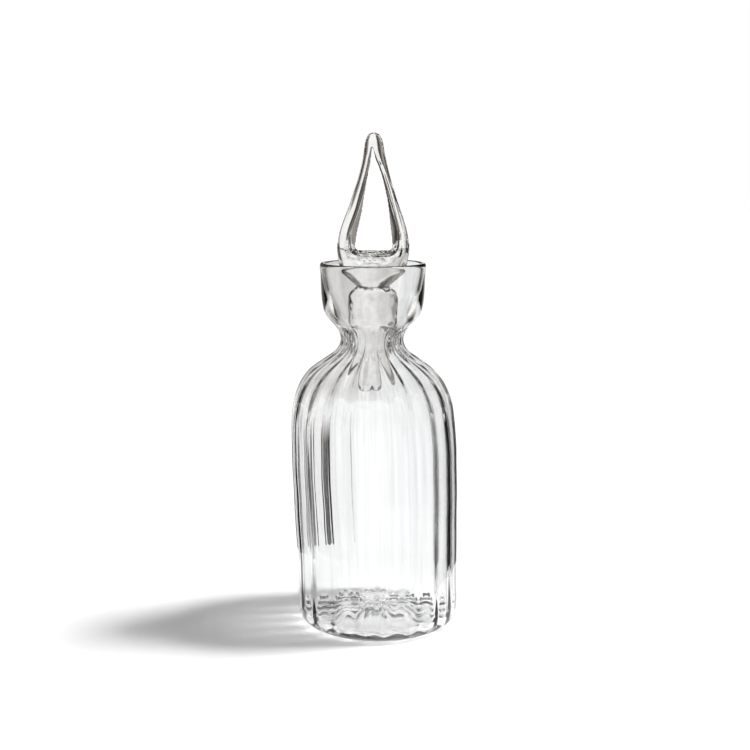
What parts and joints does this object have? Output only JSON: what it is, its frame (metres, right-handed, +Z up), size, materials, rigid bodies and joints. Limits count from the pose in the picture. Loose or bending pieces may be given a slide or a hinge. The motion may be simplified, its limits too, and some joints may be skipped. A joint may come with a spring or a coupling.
{
  "type": "oil cruet",
  "caption": "Clear glass oil cruet: softly ribbed round body, drawn-in neck, plain bowl mouth, and a lift-out ball stopper with an open drop-shaped finial.",
  "frame": {"origin": "centre of the circle that the foot ring stands on, in the plane of the table", "axes": "+Z up along the bottle's axis; the finial's opening faces -Y and +Y, with its width along X"},
  "size_m": [0.0826, 0.0826, 0.24],
  "materials": {
    "ribbed_glass": "clear soda-lime glass, blown in a ribbed mould, fire-bright, soft ribs mostly on the inside",
    "cup_glass": "clear soda-lime glass, plain, thick, with a fire-polished lip",
    "stopper_glass": "clear solid soda-lime glass, hand-drawn, fire-bright, with a few small bubbles at the pinch"
  },
  "bodies": {
    "bottle": {"bottle_body": "ribbed_glass", "pouring_cup": "cup_glass"},
    "stopper": {"stopper_plug": "stopper_glass", "stopper_finial": "stopper_glass"}
  },
  "joints": [
    {"name": "stopper_lift", "type": "slide", "parent": "bottle", "child": "stopper", "axis": [0, 0, 1], "range_m": [0, 0.08]}
  ]
}
